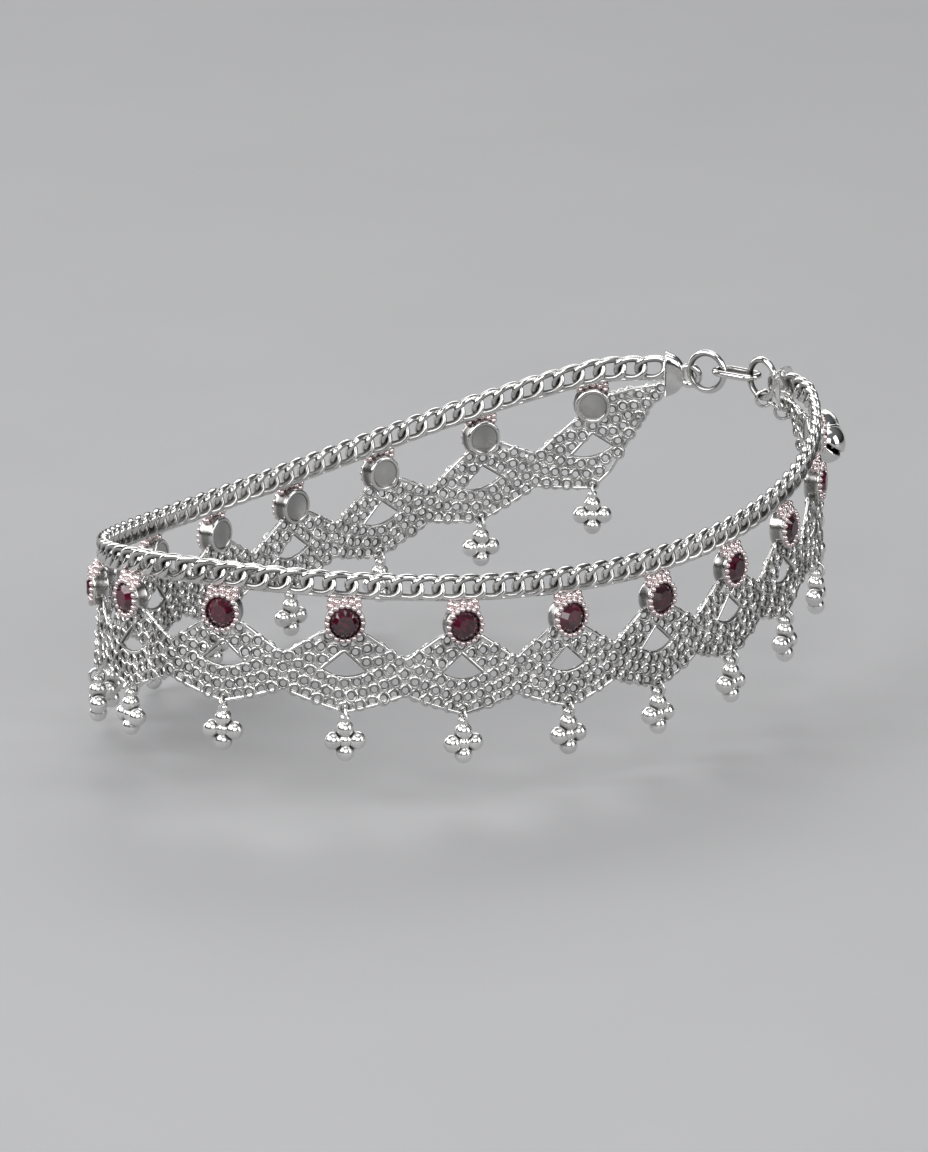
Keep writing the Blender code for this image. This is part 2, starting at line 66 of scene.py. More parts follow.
# The stones' line and the band's sizes, as in the source of the solids
LOOP_LENGTH = 0.098
LOOP_WIDTH = 0.063
HEEL_RISE = 0.0026
SIDE_LEAN = 0.0016
SIDE_SAG = 0.0034
STONE_COUNT = 18
CLASP_SPAN = 0.035
LOOP_SAMPLES = 2000
NET_FLARE = 0.067
NET_SHOULDER = 0.0010
NOTCH_DEPTH = 0.0039
SCALLOP_TOP = 0.0080
SCALLOP_BOTTOM = 0.0101
GAP_TOP = 0.0031
GAP_CORNER = 0.0054
GAP_BOTTOM = 0.0062
GAP_BOW = 0.0002
GAP_WIDTH = 0.0052
EYELET_LEVEL = -0.00935
END_REACH = 0.0085
STRIP_TOP = 0.0012
STRIP_FOOT = -0.0002
CHAIN_HEIGHT = 0.0030
CHAIN_THICKNESS = 0.0014
CHAIN_LEVEL = 0.0040
CHAIN_END_LEVEL = 0.0030
CAP_LEVEL = 0.00215
CAP_HEIGHT = 0.0050
CAP_LENGTH = 0.0022
CAP_THICKNESS = 0.0018
CAP_EYE_RADIUS = 0.0011
CAP_EYE_WIRE = 0.0008
BEZEL_RADIUS = 0.0022
RIM_OUT = 0.00131
SETTING_BACK = 0.0006
CLASP_RING_RADIUS = 0.0022
CLASP_RING_WIRE = 0.00076
CLASP_LINK_LENGTH = 0.0056
CLASP_LINK_WIDTH = 0.0028
CLASP_LINK_WIRE = 0.00076
BELL_DIAMETER = 0.0046
BELL_WALL = 0.0004
BELL_SLIT = 0.0006
BELL_EYE_RADIUS = 0.0007
BELL_EYE_SINK = 0.0001
BELL_GAP = 0.0001
BELL_LEAN = 55.0
BELL_TURN = -28.0
SMALL_LINK_WIRE = 0.0004
SMALL_LINK_COUNT = 5
LINK_CLEARANCE = 0.0001
SMALL_LINK_RADIUS = 0.5 * (CLASP_RING_WIRE + 2.0 * SMALL_LINK_WIRE + 3.0 * LINK_CLEARANCE)
DROP_BALL = 0.0020
DROP_ARM = 0.00128
DROP_BAIL_RADIUS = 0.0009
DROP_BAIL_WIRE = 0.00036
DROP_BAIL_SINK = 0.00035

# The beads on the settings: on the rim, in the collar, and at the collar's corners
RIM_BEADS = 18
RIM_BEAD = 0.00066
RIM_BEAD_REACH = 0.00192
RIM_BEAD_SINK = 0.00005
COLLAR_BEAD = 0.00090
COLLAR_REACH = 0.00232
COLLAR_OUT = 0.00062
COLLAR_STEP = 20.0
COLLAR_CORNER = (0.00142, 0.00046, 0.00238)

# The drops' small balls and how far their shade reaches, and the bells' seam and mouth
DROP_NECK = 0.0012
DROP_NECK_RISE = 0.00112
DROP_MIDDLE = 0.0017
DROP_SHADE = 0.0004
BELL_SEAM = 0.00042
BELL_ROWS = 24
BELL_MOUTH_END = 52.0
BELL_CLOSING = 10.0
BELL_CLOSED = 0.003

# The curb chain's links and the wire under them
LINK_PITCH = 0.0024
LINK_WIRE = 0.00080
LINK_FACE = 0.00060
CHAIN_SINK = 0.0002
RAIL_WIRE = 0.00040

# The rings of the net, the room that each needs, and the wires along its edges
RING_PITCH = 0.00132
RING_RADIUS = 0.00058
RING_WIRE = 0.00048
RING_ROOM = 0.00062
EDGE_ROOM = 0.0005
FOOT_ROOM = 0.0004
BEZEL_CLEARANCE = 0.0001
RING_WEAVE = 0.00010
RING_TILT = 7.0
LEAST_PITCH = 0.80 * RING_PITCH
LEAST_END_PITCH = 0.00090
ROW_STEP = 0.00120
FIRST_ROW = 0.00072
SPARE_GRID = (66, 86)
SPARE_HEIGHTS = (-0.0095, -0.0010)
END_ROWS = 8
END_ROW_SPREAD = 1.25
STRIP_START = 0.0030
STRIP_INSET = 0.0006
SETTLING_ROUNDS = 120
BORDER_WIRE = 0.00044
BORDER_SINK = 0.0003
BORDER_START = 0.0020
BORDER_GAP = 0.0001
SEED = 5

# A distance too small to matter
HAIR = 1e-6

# The camera
AZIMUTH = math.radians(39.5)
ELEVATION = math.radians(14.5)
DISTANCE = 1.13
TARGET = (0.0, 0.0, -0.006)
LENS = 318.0


# Places on the band

def loop_table():
    """The ellipse of the stones' line: its angles and the length along it, from the heel."""
    angle = np.linspace(0.0, TAU, LOOP_SAMPLES)
    step_x = np.diff(0.5 * LOOP_WIDTH * np.sin(angle))
    step_y = np.diff(0.5 * LOOP_LENGTH * np.cos(angle))
    return angle, np.concatenate([[0.0], np.cumsum(np.hypot(step_x, step_y))])


LOOP_ANGLE, LOOP_RUN = loop_table()
LOOP_TOTAL = float(LOOP_RUN[-1])
PITCH = (LOOP_TOTAL - CLASP_SPAN) / (STONE_COUNT - 1)
FIRST_STONE = 0.5 * CLASP_SPAN
LAST_STONE = LOOP_TOTAL - FIRST_STONE
CAP_FACE = FIRST_STONE - END_REACH
EYE_PLACE = CAP_FACE - CAP_LENGTH - 0.5 * CAP_EYE_RADIUS
RING_PLACE = EYE_PLACE - CLASP_RING_RADIUS
STONES = FIRST_STONE + PITCH * np.arange(STONE_COUNT)


def unit(arrows):
    """Arrows of length one in the same directions."""
    return arrows / np.linalg.norm(arrows, axis=-1, keepdims=True)


def stands(along, height, out=0.0):
    """The places of pieces on the band, one matrix each, with its onward, outward and upward
    directions. The place is the ellipse's point at that length, raised by the stones' line and
    pushed out by the net's flare where it hangs lower."""
    along, height, out = np.broadcast_arrays(np.atleast_1d(along), height, out)
    angle = np.interp(along % LOOP_TOTAL, LOOP_RUN, LOOP_ANGLE)
    sine, cosine = np.sin(angle), np.cos(angle)
    onward = unit(np.stack([LOOP_WIDTH * cosine, -LOOP_LENGTH * sine], -1))
    rise = HEEL_RISE * cosine + SIDE_LEAN * sine + SIDE_SAG * np.cos(2.0 * angle)
    reach = out + NET_FLARE * np.maximum(0.0, -height)
    matrices = np.zeros(along.shape + (4, 4))
    matrices[..., :2, 0] = onward
    matrices[..., 0, 1] = -onward[..., 1]
    matrices[..., 1, 1] = onward[..., 0]
    matrices[..., 2, 2] = matrices[..., 3, 3] = 1.0
    matrices[..., 0, 3] = 0.5 * LOOP_WIDTH * sine - onward[..., 1] * reach
    matrices[..., 1, 3] = 0.5 * LOOP_LENGTH * cosine + onward[..., 0] * reach
    matrices[..., 2, 3] = rise + height
    return matrices


def bent(points):
    """Points given as along, outward and height, set round the loop."""
    flat = points.reshape(-1, 3)
    return stands(flat[:, 0], flat[:, 2], flat[:, 1])[:, :3, 3].reshape(points.shape)


def turn(axis, degrees):
    """A turn about one axis, as a matrix."""
    first, second = {"X": (1, 2), "Y": (2, 0), "Z": (0, 1)}[axis]
    angle = math.radians(degrees)
    matrix = np.eye(4)
    matrix[first, first] = matrix[second, second] = math.cos(angle)
    matrix[second, first] = math.sin(angle)
    matrix[first, second] = -math.sin(angle)
    return matrix


def shift(x=0.0, y=0.0, z=0.0):
    """A move, as a matrix."""
    matrix = np.eye(4)
    matrix[:3, 3] = (x, y, z)
    return matrix


# Shapes

class Shape:
    """Points, their faces, and how deep each point lies in a recess, from 0 to 1, which the silver
    paints as shade. A face has four corners, and the last is -1 in one of three."""

    def __init__(self, points, faces, recess=None):
        self.points = np.asarray(points, float).reshape(-1, 3)
        self.faces = np.asarray(faces, int).reshape(-1, 4)
        self.recess = np.zeros(len(self.points)) if recess is None else np.ravel(recess)

    def outward(self):
        """Turns the faces over if they point inwards: the volume inside them is then negative."""
        corners = self.points[self.faces]
        corners[self.faces[:, 3] < 0, 3] = corners[self.faces[:, 3] < 0, 0]
        a, b, c, d = np.moveaxis(corners, 1, 0)
        volume = np.sum(a * np.cross(b, c)) + np.sum(a * np.cross(c, d))
        if volume < 0.0:
            self.faces[:, :3] = self.faces[:, 2::-1]
            four = self.faces[:, 3] >= 0
            self.faces[four] = np.roll(self.faces[four], 1, axis=1)
        return self


def joined(shapes):
    """Several shapes as one."""
    starts = np.cumsum([0] + [len(shape.points) for shape in shapes])
    faces = [np.where(shape.faces >= 0, shape.faces + start, -1)
             for shape, start in zip(shapes, starts)]
    return Shape(np.concatenate([shape.points for shape in shapes]), np.concatenate(faces),
                 np.concatenate([shape.recess for shape in shapes]))


def copies(shape, matrices):
    """One shape set at many places."""
    matrices = np.asarray(matrices).reshape(-1, 4, 4)
    points = np.einsum("nij,vj->nvi", matrices[:, :3, :3], shape.points)
    points += matrices[:, None, :3, 3]
    starts = np.arange(len(matrices))[:, None, None] * len(shape.points)
    faces = np.where(shape.faces >= 0, shape.faces + starts, -1)
    return Shape(points, faces, np.tile(shape.recess, len(matrices)))


def grid_faces(rows, columns, rows_close=True, columns_close=True):
    """The faces of a grid of points: each point with the next in its row and in its column, and
    round to the first where the grid closes."""
    row, column = np.meshgrid(np.arange(rows if rows_close else rows - 1),
                              np.arange(columns if columns_close else columns - 1), indexing="ij")
    below, beside = (row + 1) % rows, (column + 1) % columns
    return np.stack([row * columns + column, below * columns + column,
                     below * columns + beside, row * columns + beside], -1).reshape(-1, 4)


def fan_faces(centre, first, count, flip):
    """Three-cornered faces from a point to a closed row of points."""
    here = first + np.arange(count)
    after = first + (np.arange(count) + 1) % count
    rim = (after, here) if flip else (here, after)
    return np.stack([np.full(count, centre), *rim, np.full(count, -1)], -1)


def closed_rows(points, low, high, recess=None):
    """A closed skin over rows of points, each row a loop, with one point at each end."""
    rows, columns = points.shape[:2]
    faces = [grid_faces(rows, columns, False, True),
             fan_faces(rows * columns, 0, columns, True),
             fan_faces(rows * columns + 1, (rows - 1) * columns, columns, False)]
    every = np.concatenate([points.reshape(-1, 3), [low, high]])
    if recess is not None:
        recess = np.concatenate([np.ravel(recess), np.ravel(recess)[[0, -1]]])
    faces[0] = faces[0][:, ::-1]
    return Shape(every, np.concatenate(faces), recess).outward()


def turned(profile, segments, recess=None):
    """A profile of (distance from the axis, distance outward) turned once round the outward
    axis. Its first and last points lie on the axis."""
    reach, out = np.asarray(profile, float).T
    angle = TAU * np.arange(segments) / segments
    points = np.stack([reach[1:-1, None] * np.cos(angle),
                       np.repeat(out[1:-1, None], segments, 1),
                       reach[1:-1, None] * np.sin(angle)], -1)
    if recess is not None:
        recess = np.repeat(np.asarray(recess)[1:-1, None], segments, 1)
    return closed_rows(points, (0.0, out[0], 0.0), (0.0, out[-1], 0.0), recess)


def ball(diameter, segments, rings):
    """A ball with its poles outward and inward."""
    tilt = math.pi * np.arange(rings + 1) / rings
    return turned(0.5 * diameter * np.stack([np.sin(tilt), -np.cos(tilt)], -1), segments)


def sections(ahead, sides, face):
    """Unit circles square to a path's directions, one each: the cosine of the angle goes along
    the side, which is square to the direction and to the path's face, and the sine over it."""
    side = unit(np.cross(ahead, face))
    over = np.cross(side, ahead)
    around = TAU * np.arange(sides) / sides
    return np.cos(around)[:, None] * side[:, None] + np.sin(around)[:, None] * over[:, None]


def wire_loop(path, wire, sides, face=(0.0, 1.0, 0.0)):
    """A round wire along a closed path: at each step a circle stands square to the path, and its
    side towards the middle of the path is the recess, where shade is painted."""
    swing = sections(unit(np.roll(path, -1, 0) - np.roll(path, 1, 0)), sides, face)
    inward = path.mean(0) - path
    inward /= np.linalg.norm(inward, axis=1, keepdims=True) + 1e-9
    recess = np.clip(np.sum(swing * inward[:, None], -1), 0.0, 1.0)
    points = path[:, None] + 0.5 * wire * swing
    return Shape(points, grid_faces(len(path), sides), recess).outward()


def wire_run(path, wire, sides):
    """A round wire along an open path: circles square to the path, the first and the last of them
    smaller, and a point beyond each, which round the ends."""
    ahead = unit(np.gradient(path, axis=0))
    swing = sections(ahead, sides, (0.0, 1.0, 0.0))
    size = np.ones(len(path))
    size[[0, -1]] = 0.6
    points = path[:, None] + 0.5 * wire * size[:, None, None] * swing
    low = path[0] - 0.25 * wire * ahead[0]
    high = path[-1] + 0.25 * wire * ahead[-1]
    return closed_rows(points, low, high)


def circle(radius, segments):
    """Points round a circle that faces outwards."""
    around = TAU * np.arange(segments) / segments
    return np.stack([radius * np.cos(around), 0.0 * around, radius * np.sin(around)], -1)


def ring(radius, wire, segments, sides):
    """A round ring of wire that faces outwards."""
    return wire_loop(circle(radius, segments), wire, sides)


def squared(angle, power):
    """The sine of an angle drawn towards 1 and -1, which squares a round section."""
    sine = np.sin(angle)
    return np.sign(sine) * np.abs(sine) ** power


# Finishes

class Shade:
    """A socket that takes part in sums: each operator adds the Math node that works it out."""

    def __init__(self, finish, socket):
        self.finish = finish
        self.socket = socket

    def math(self, operation, *values):
        inputs = dict(enumerate(values))
        return self.finish.add("ShaderNodeMath", {"operation": operation}, inputs)

    def __add__(self, other):
        return self.math("ADD", self, other)

    def __sub__(self, other):
        return self.math("SUBTRACT", self, other)

    def __rsub__(self, other):
        return self.math("SUBTRACT", other, self)

    def __mul__(self, other):
        return self.math("MULTIPLY", self, other)

    def __truediv__(self, other):
        return self.math("DIVIDE", self, other)

    def __pow__(self, other):
        return self.math("POWER", self, other)

    __radd__ = __add__
    __rmul__ = __mul__

    def held(self):
        """The value kept between 0 and 1."""
        return self.finish.add("ShaderNodeClamp", {}, {0: self})

    def eased(self, low, high):
        """A smooth step from 0 at low to 1 at high."""
        return self.finish.add("ShaderNodeMapRange", {"interpolation_type": "SMOOTHSTEP"},
                               {0: self, 1: low, 2: high})


class Finish:
    """The nodes of a material or of the room's air."""

    def __init__(self, owner):
        self.owner = owner
        owner.use_nodes = True
        self.tree = owner.node_tree
        self.tree.nodes.clear()

    def add(self, kind, settings, inputs, output=0):
        """One node: its settings first, then the values and links of its sockets."""
        node = self.tree.nodes.new(kind)
        for name, value in settings.items():
            setattr(node, name, value)
        for name, value in inputs.items():
            if isinstance(value, Shade):
                self.tree.links.new(value.socket, node.inputs[name])
            else:
                node.inputs[name].default_value = value
        return Shade(self, node.outputs[output]) if node.outputs else None

    def place(self, kind="Object"):
        return self.add("ShaderNodeTexCoord", {}, {}, kind)

    def stretched(self, place, scale):
        return self.add("ShaderNodeMapping", {}, {"Vector": place, "Scale": scale})

    # How deep each point lies in a recess, which the silver paints as shade.
    def recess(self):
        return self.add("ShaderNodeAttribute", {"attribute_name": "recess"}, {}, "Fac")

    def noise(self, place, scale, detail):
        return self.add("ShaderNodeTexNoise", {},
                        {"Vector": place, "Scale": scale, "Detail": detail})

    def mixed(self, share, first, second):
        """A colour between two others."""
        return self.add("ShaderNodeMix", {"data_type": "RGBA"}, {0: share, 6: first, 7: second}, 2)

    def bumped(self, height, strength, depth):
        return self.add("ShaderNodeBump", {},
                        {"Height": height, "Strength": strength, "Distance": depth})

    def surface(self, **inputs):
        """The shader itself, and the material it ends in."""
        named = {name.replace("_", " "): value for name, value in inputs.items()}
        shader = self.add("ShaderNodeBsdfPrincipled", {}, named)
        self.add("ShaderNodeOutputMaterial", {}, {"Surface": shader})
        return self.owner


def finish_named(name):
    """A new material's nodes."""
    return Finish(bpy.data.materials.new(name))


def silver(name, bright, dark, polish, depth):
    """Polished silver: darker in the recesses, as painted shade and a dull film, a dull film in
    soft patches, fine hairlines from wear, and small dents that break up the reflections."""
    finish = finish_named(name)
    place = finish.place()
    patch = finish.noise(place, 210.0, 3.0).eased(0.35, 0.75)
    hairline = finish.noise(finish.stretched(place, (1.0, 1.0, 7.0)), 2600.0, 2.0)
    dent = finish.noise(place, 900.0, 1.0)
    # Painted shade and a dull film: darker where the recess is deep, plus random dull patches.
    shade_and_film = (finish.recess() ** 0.7 * 0.9 + patch * 0.22).held()
    return finish.surface(
        Base_Color=finish.mixed(shade_and_film, bright, dark),
        Metallic=1.0,
        Roughness=(polish + shade_and_film * 0.22 + (hairline - 0.5) * 0.12).held(),
        Normal=finish.bumped(dent * 0.7 + hairline * 0.3, 0.35, depth))


def garnet(name):
    """Dark red stone: glossy, with lighter clouds inside and small painted glints that stand in
    for its flashes of light.
    """
    finish = finish_named(name)
    place = finish.place()
    cloud = finish.noise(place, 420.0, 2.0)
    painted_glint = finish.noise(place, 2300.0, 0.0)
    # Lighter in the clouds and at the painted glints.
    light = (cloud.eased(0.4, 0.75) * 0.6 + painted_glint.eased(0.5, 0.7) * 0.6).held()
    return finish.surface(
        Base_Color=finish.mixed(light, (0.016, 0.0010, 0.005, 1.0), (0.11, 0.006, 0.024, 1.0)),
        Roughness=0.03 + cloud * 0.04,
        IOR=1.78,
        Normal=finish.bumped(cloud, 0.05, 0.00002))


# Pieces

def show(name, shape, material, stands_for):
    """A finished piece: its smooth mesh, its finish, and the solids that it stands for."""
    mesh = bpy.data.meshes.new(name)
    four = shape.faces[:, 3] >= 0
    faces = shape.faces[four].tolist() + shape.faces[~four, :3].tolist()
    mesh.from_pydata(shape.points.tolist(), [], faces)
    # The recess depths go with the mesh, for the silver's painted shade.
    mesh.attributes.new("recess", "FLOAT", "POINT").data.foreach_set("value", shape.recess)
    mesh.shade_smooth()
    mesh.materials.append(material)
    piece = bpy.data.objects.new(name, mesh)
    bpy.context.scene.collection.objects.link(piece)
    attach(piece, "root")
    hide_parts(*stands_for)


def chain_level(along):
    """The height of the chain's middle: level over the stones, and easing down to the caps past
    the first and the last."""
    beyond = np.maximum(np.maximum(FIRST_STONE - along, along - LAST_STONE), 0.0)
    share = np.minimum(beyond / END_REACH, 1.0)
    return CHAIN_LEVEL + (CHAIN_END_LEVEL - CHAIN_LEVEL) * share * share * (3.0 - 2.0 * share)


def curb_link():
    """One link of the curb chain: wire round a squared ellipse, which goes out and in by a sine
    of twice the angle, so that links lie flat in each other. Its faces are filed flat."""
    around = TAU * (np.arange(28) + 0.5) / 28
    reach = 0.5 * (LINK_PITCH + LINK_WIRE)
    rise = 0.5 * (CHAIN_HEIGHT - LINK_WIRE)
    weave = 0.5 * (CHAIN_THICKNESS - LINK_WIRE)
    path = np.stack([reach * squared(around + 0.5 * math.pi, 0.9),
                     weave * np.sin(2.0 * around), rise * squared(around, 0.8)], -1)
    shape = wire_loop(path, LINK_WIRE, 10)
    shape.points[:, 1] = np.clip(shape.points[:, 1], -LINK_FACE, LINK_FACE)
    return shape


def curb_chain():
    """The links side by side from cap to cap, bent round the band."""
    link = curb_link()
    reach = np.ptp(link.points[:, 0])
    start = CAP_FACE - CHAIN_SINK + 0.5 * reach
    run = LOOP_TOTAL - 2.0 * start
    count = round(run / LINK_PITCH) + 1
    centres = start + run * np.arange(count) / (count - 1)
    shape = copies(link, [shift(centre) for centre in centres])
    shape.points[:, 2] += chain_level(shape.points[:, 0])
    shape.points = bent(shape.points)
    return shape


def gap_outline():
    """The corners of the three-cornered gap under a stone, round from its top. Its lower edge is
    bowed."""
    half, bow = 0.5 * GAP_WIDTH, -GAP_BOTTOM + GAP_BOW
    return np.array([(0.0, -GAP_TOP), (-half, -GAP_CORNER), (-0.5 * half, bow),
                     (0.0, -GAP_BOTTOM), (0.5 * half, bow), (half, -GAP_CORNER)])


def outline_distance(points, outline):
    """How far points lie from a closed outline: the least distance to its edges, and negative
    for a point from which a line crosses them an odd number of times."""
    start, end = outline, np.roll(outline, -1, 0)
    edge = end - start
    reach = points[:, None] - start
    share = np.clip(np.sum(reach * edge, -1) / np.sum(edge * edge, -1), 0.0, 1.0)
    away = np.linalg.norm(reach - share[..., None] * edge, axis=-1).min(1)
    above = points[:, None, 1] > start[:, 1]
    crosses = above != (points[:, None, 1] > end[:, 1])
    rise = np.where(edge[:, 1] == 0.0, 1e-12, edge[:, 1])
    at = start[:, 0] + (points[:, None, 1] - start[:, 1]) / rise * edge[:, 0]
    inside = np.sum(crosses & (points[:, None, 0] < at), axis=1) % 2 == 1
    return np.where(inside, -away, away)


HALF = 0.5 * PITCH
SHOULDER = 0.30 * HALF
SCALLOP_RISE = SCALLOP_BOTTOM - SCALLOP_TOP
UPPER = np.array([(0.0, -NET_SHOULDER), (SHOULDER, -NET_SHOULDER), (HALF, -NOTCH_DEPTH)])
LOWER = np.array([(0.0, -SCALLOP_BOTTOM), (SHOULDER, -SCALLOP_BOTTOM + 0.26 * SCALLOP_RISE),
                  (0.65 * HALF, -SCALLOP_BOTTOM + 0.60 * SCALLOP_RISE), (HALF, -SCALLOP_TOP)])


def even_row(line, lift, staggered):
    """Ring centres along a line moved up or down, at even steps of its length."""
    across = np.linspace(0.0, HALF, 200)
    height = np.interp(across, *line.T) + lift
    run = np.concatenate([[0.0], np.cumsum(np.hypot(np.diff(across), np.diff(height)))])
    count = round(run[-1] / RING_PITCH)
    steps = (np.arange(count) + 0.5) if staggered else np.arange(count + 1)
    at = steps * run[-1] / count
    return np.stack([np.interp(at, run, across), np.interp(at, run, height)], -1)


def keep_apart(kept, more, least):
    """Adds those points that stand at least so far from all that are kept."""
    for point in more:
        if np.min(np.linalg.norm(kept - point, axis=1)) >= least:
            kept = np.concatenate([kept, [point]])
    return kept


def half_repeat():
    """Ring centres from the middle of a scallop to the middle of the next notch: three rows along
    its lower edge, two rows along its upper edge, then rings where a grid's points still have
    room, the nearest to the gap first, and all settled evenly."""
    rows = [even_row(LOWER, FIRST_ROW + ROW_STEP * step, step % 2 == 1) for step in range(3)]
    centres = np.concatenate(rows)
    centres = centres[outline_distance(centres, gap_outline()) > 0.5 * RING_ROOM]
    slope = math.hypot(1.0, (NOTCH_DEPTH - NET_SHOULDER) / (HALF - SHOULDER))
    steep = np.array([(0.0, -NET_SHOULDER + SHOULDER * math.sqrt(slope ** 2 - 1.0)),
                      (HALF, -NOTCH_DEPTH)])
    for step in range(2):
        row = even_row(steep, -slope * (RING_ROOM + ROW_STEP * step), step % 2 == 0)
        centres = keep_apart(centres, row[inside_net(row)], LEAST_PITCH)
    across, height = np.meshgrid(np.linspace(0.0, HALF, SPARE_GRID[0]),
                                 np.linspace(*SPARE_HEIGHTS, SPARE_GRID[1]))
    spare = np.stack([across.ravel(), height.ravel()], -1)
    spare = spare[inside_net(spare)]
    spare = spare[np.argsort(outline_distance(spare, gap_outline()), kind="stable")]
    centres = keep_apart(centres, spare, LEAST_PITCH)
    lowest = np.argmin(np.hypot(centres[:, 0], centres[:, 1] - EYELET_LEVEL))
    centres[lowest] = (0.0, EYELET_LEVEL)
    return settled(centres, beside_repeat, net_bounds, HALF)


def inside_net(points):
    """Which points have room for a ring: between the edges, clear of the gap and setting."""
    room = points[:, 1] < np.interp(points[:, 0], *UPPER.T) - RING_ROOM
    room &= points[:, 1] > np.interp(points[:, 0], *LOWER.T) + RING_ROOM
    room &= outline_distance(points, gap_outline()) > RING_ROOM
    return room & off_the_setting(points)


def off_the_setting(points):
    """Which points lie clear of the setting."""
    return np.hypot(points[:, 0], points[:, 1]) > BEZEL_RADIUS + BEZEL_CLEARANCE


def beside_repeat(points):
    """The rings of the next half repeats, mirrored at the scallop's and the notch's middle."""
    mirrored = points * (-1.0, 1.0)
    return [mirrored, mirrored + (2.0 * HALF, 0.0)]


def net_bounds(points):
    """The heights between which ring centres lie in a repeat: a ring's room inside its edges,
    and a little more as the edges slope."""
    return (np.interp(points[:, 0], *LOWER.T) + 1.06 * RING_ROOM,
            np.interp(points[:, 0], *UPPER.T) - 1.19 * RING_ROOM)


def pushes(centres, seen):
    """How far each ring centre is pushed off by the seen ones: the sum of the arrows from them to
    it, each times what 1.12 pitches over the arrow's length is more than 1, kept from 0 to 1."""
    reach = centres[:, None] - seen
    away = np.linalg.norm(reach, axis=-1)
    push = np.clip(1.12 * RING_PITCH / np.maximum(away, HAIR) - 1.0, 0.0, 1.0)
    push[away < HAIR] = 0.0
    return np.sum(push[..., None] * reach, axis=1)


def clear_of_gap(centres):
    """Ring centres moved off the gap, first along and then upward, each by the room that it
    lacks times how fast the gap gets farther that way."""
    gap = gap_outline()
    for axis in (0, 1):
        nudge = HAIR * np.eye(2)[axis]
        room = outline_distance(centres, gap)
        slope = (outline_distance(centres + nudge, gap) - room) / HAIR
        centres[:, axis] += np.clip(RING_ROOM - room, 0.0, None) * slope
    return centres


def settled(centres, beside, bounds, far):
    """Ring centres moved until they lie evenly: they push each other off, those beside them too,
    and are kept between the net's edges and clear of the gap and the setting. Rings at the middle
    and at the far end stay on their line, and the eyelet's ring stays where it is."""
    at_middle, at_far = centres[:, 0] < HAIR, centres[:, 0] > far - HAIR
    eyelet = np.hypot(centres[:, 0], centres[:, 1] - EYELET_LEVEL) < 0.1 * HAIR
    least = BEZEL_RADIUS + 2.0 * BEZEL_CLEARANCE
    for _ in range(SETTLING_ROUNDS):
        push = pushes(centres, np.concatenate([centres, *beside(centres)]))
        centres = clear_of_gap(centres + 0.25 * np.where(eyelet[:, None], 0.0, push))
        radius = np.hypot(centres[:, 0], centres[:, 1])
        centres *= np.maximum(1.0, least / radius)[:, None]
        low, high = bounds(centres)
        centres[:, 1] = np.where(eyelet, EYELET_LEVEL, np.clip(centres[:, 1], low, high))
        centres[at_middle, 0] = 0.0
        centres[at_far, 0] = far
        centres[:, 0] = np.clip(centres[:, 0], 0.0, far)
    return centres


def end_edges(beyond):
    """The heights of the net's edges at a distance beyond an outer stone."""
    share = beyond / END_REACH
    places = (0.0, 0.24, 0.50, 0.76, 1.0)
    high = -NET_SHOULDER + (STRIP_TOP + NET_SHOULDER) * np.interp(share, places, (0, 0.9, 1, 1, 1))
    low = np.interp(share, places, (0, 0.16, 0.52, 0.86, 1))
    return high, -SCALLOP_BOTTOM + (STRIP_FOOT + SCALLOP_BOTTOM) * low


def beside_end(points):
    """The rings of the outer stone's scallop, which stay where they are beside an end's."""
    middle, right, _ = HALF_RINGS
    return [middle, right * (-1.0, 1.0)]


def end_bounds(points):
    """The heights between which ring centres lie at an end."""
    high, low = end_edges(points[:, 0])
    return np.minimum(low + 1.4 * RING_ROOM, 0.5 * (low + high)), high - RING_ROOM


def end_rings():
    """Ring centres from an outer stone to its cap: rows along the rising lower edge, and one
    along the strip at the top."""
    beyond = np.linspace(0.0, END_REACH, 400)
    centres = np.array([(0.0, EYELET_LEVEL)])
    for step in range(END_ROWS):
        height = end_edges(beyond)[1] + END_ROW_SPREAD * (FIRST_ROW + ROW_STEP * step)
        run = np.concatenate([[0.0], np.cumsum(np.hypot(np.diff(beyond), np.diff(height)))])
        at = (np.arange(int(run[-1] / RING_PITCH)) + 0.5 * (step % 2)) * RING_PITCH
        row = np.stack([np.interp(at, run, beyond), np.interp(at, run, height)], -1)
        high, low = end_edges(row[:, 0])
        room = (row[:, 1] < high - EDGE_ROOM) & (row[:, 1] > low + FOOT_ROOM)
        room &= outline_distance(row, gap_outline()) > EDGE_ROOM
        centres = keep_apart(centres, row[room & off_the_setting(row)], LEAST_END_PITCH)
    strip = np.arange(STRIP_START, END_REACH, RING_PITCH)
    strip = np.stack([strip, 0.0 * strip + STRIP_TOP - STRIP_INSET], -1)
    centres = keep_apart(centres, strip, LEAST_END_PITCH)
    last = END_REACH - STRIP_INSET
    return settled(centres[centres[:, 0] > HAIR], beside_end, end_bounds, last)


def split_repeat():
    """The half repeat's rings: those on its middle, those beside it, and those at its notch."""
    half = half_repeat()
    middle, far = half[:, 0] < HAIR, half[:, 0] > HALF - HAIR
    return half[middle], half[~far & ~middle], half[far]


HALF_RINGS = split_repeat()


def ring_centres():
    """Every ring's place along the loop and height."""
    middle, right, notch = HALF_RINGS
    repeat = np.concatenate([middle, right, right * (-1.0, 1.0)])
    parts = [repeat + (place, 0.0) for place in STONES[1:-1]]
    for place, side in ((STONES[0], 1.0), (STONES[-1], -1.0)):
        parts += [middle + (place, 0.0), right * (side, 1.0) + (place, 0.0)]
        parts.append(end_rings() * (-side, 1.0) + (place, 0.0))
    parts += [notch + (place, 0.0) for place in STONES[:-1]]
    return np.concatenate(parts)


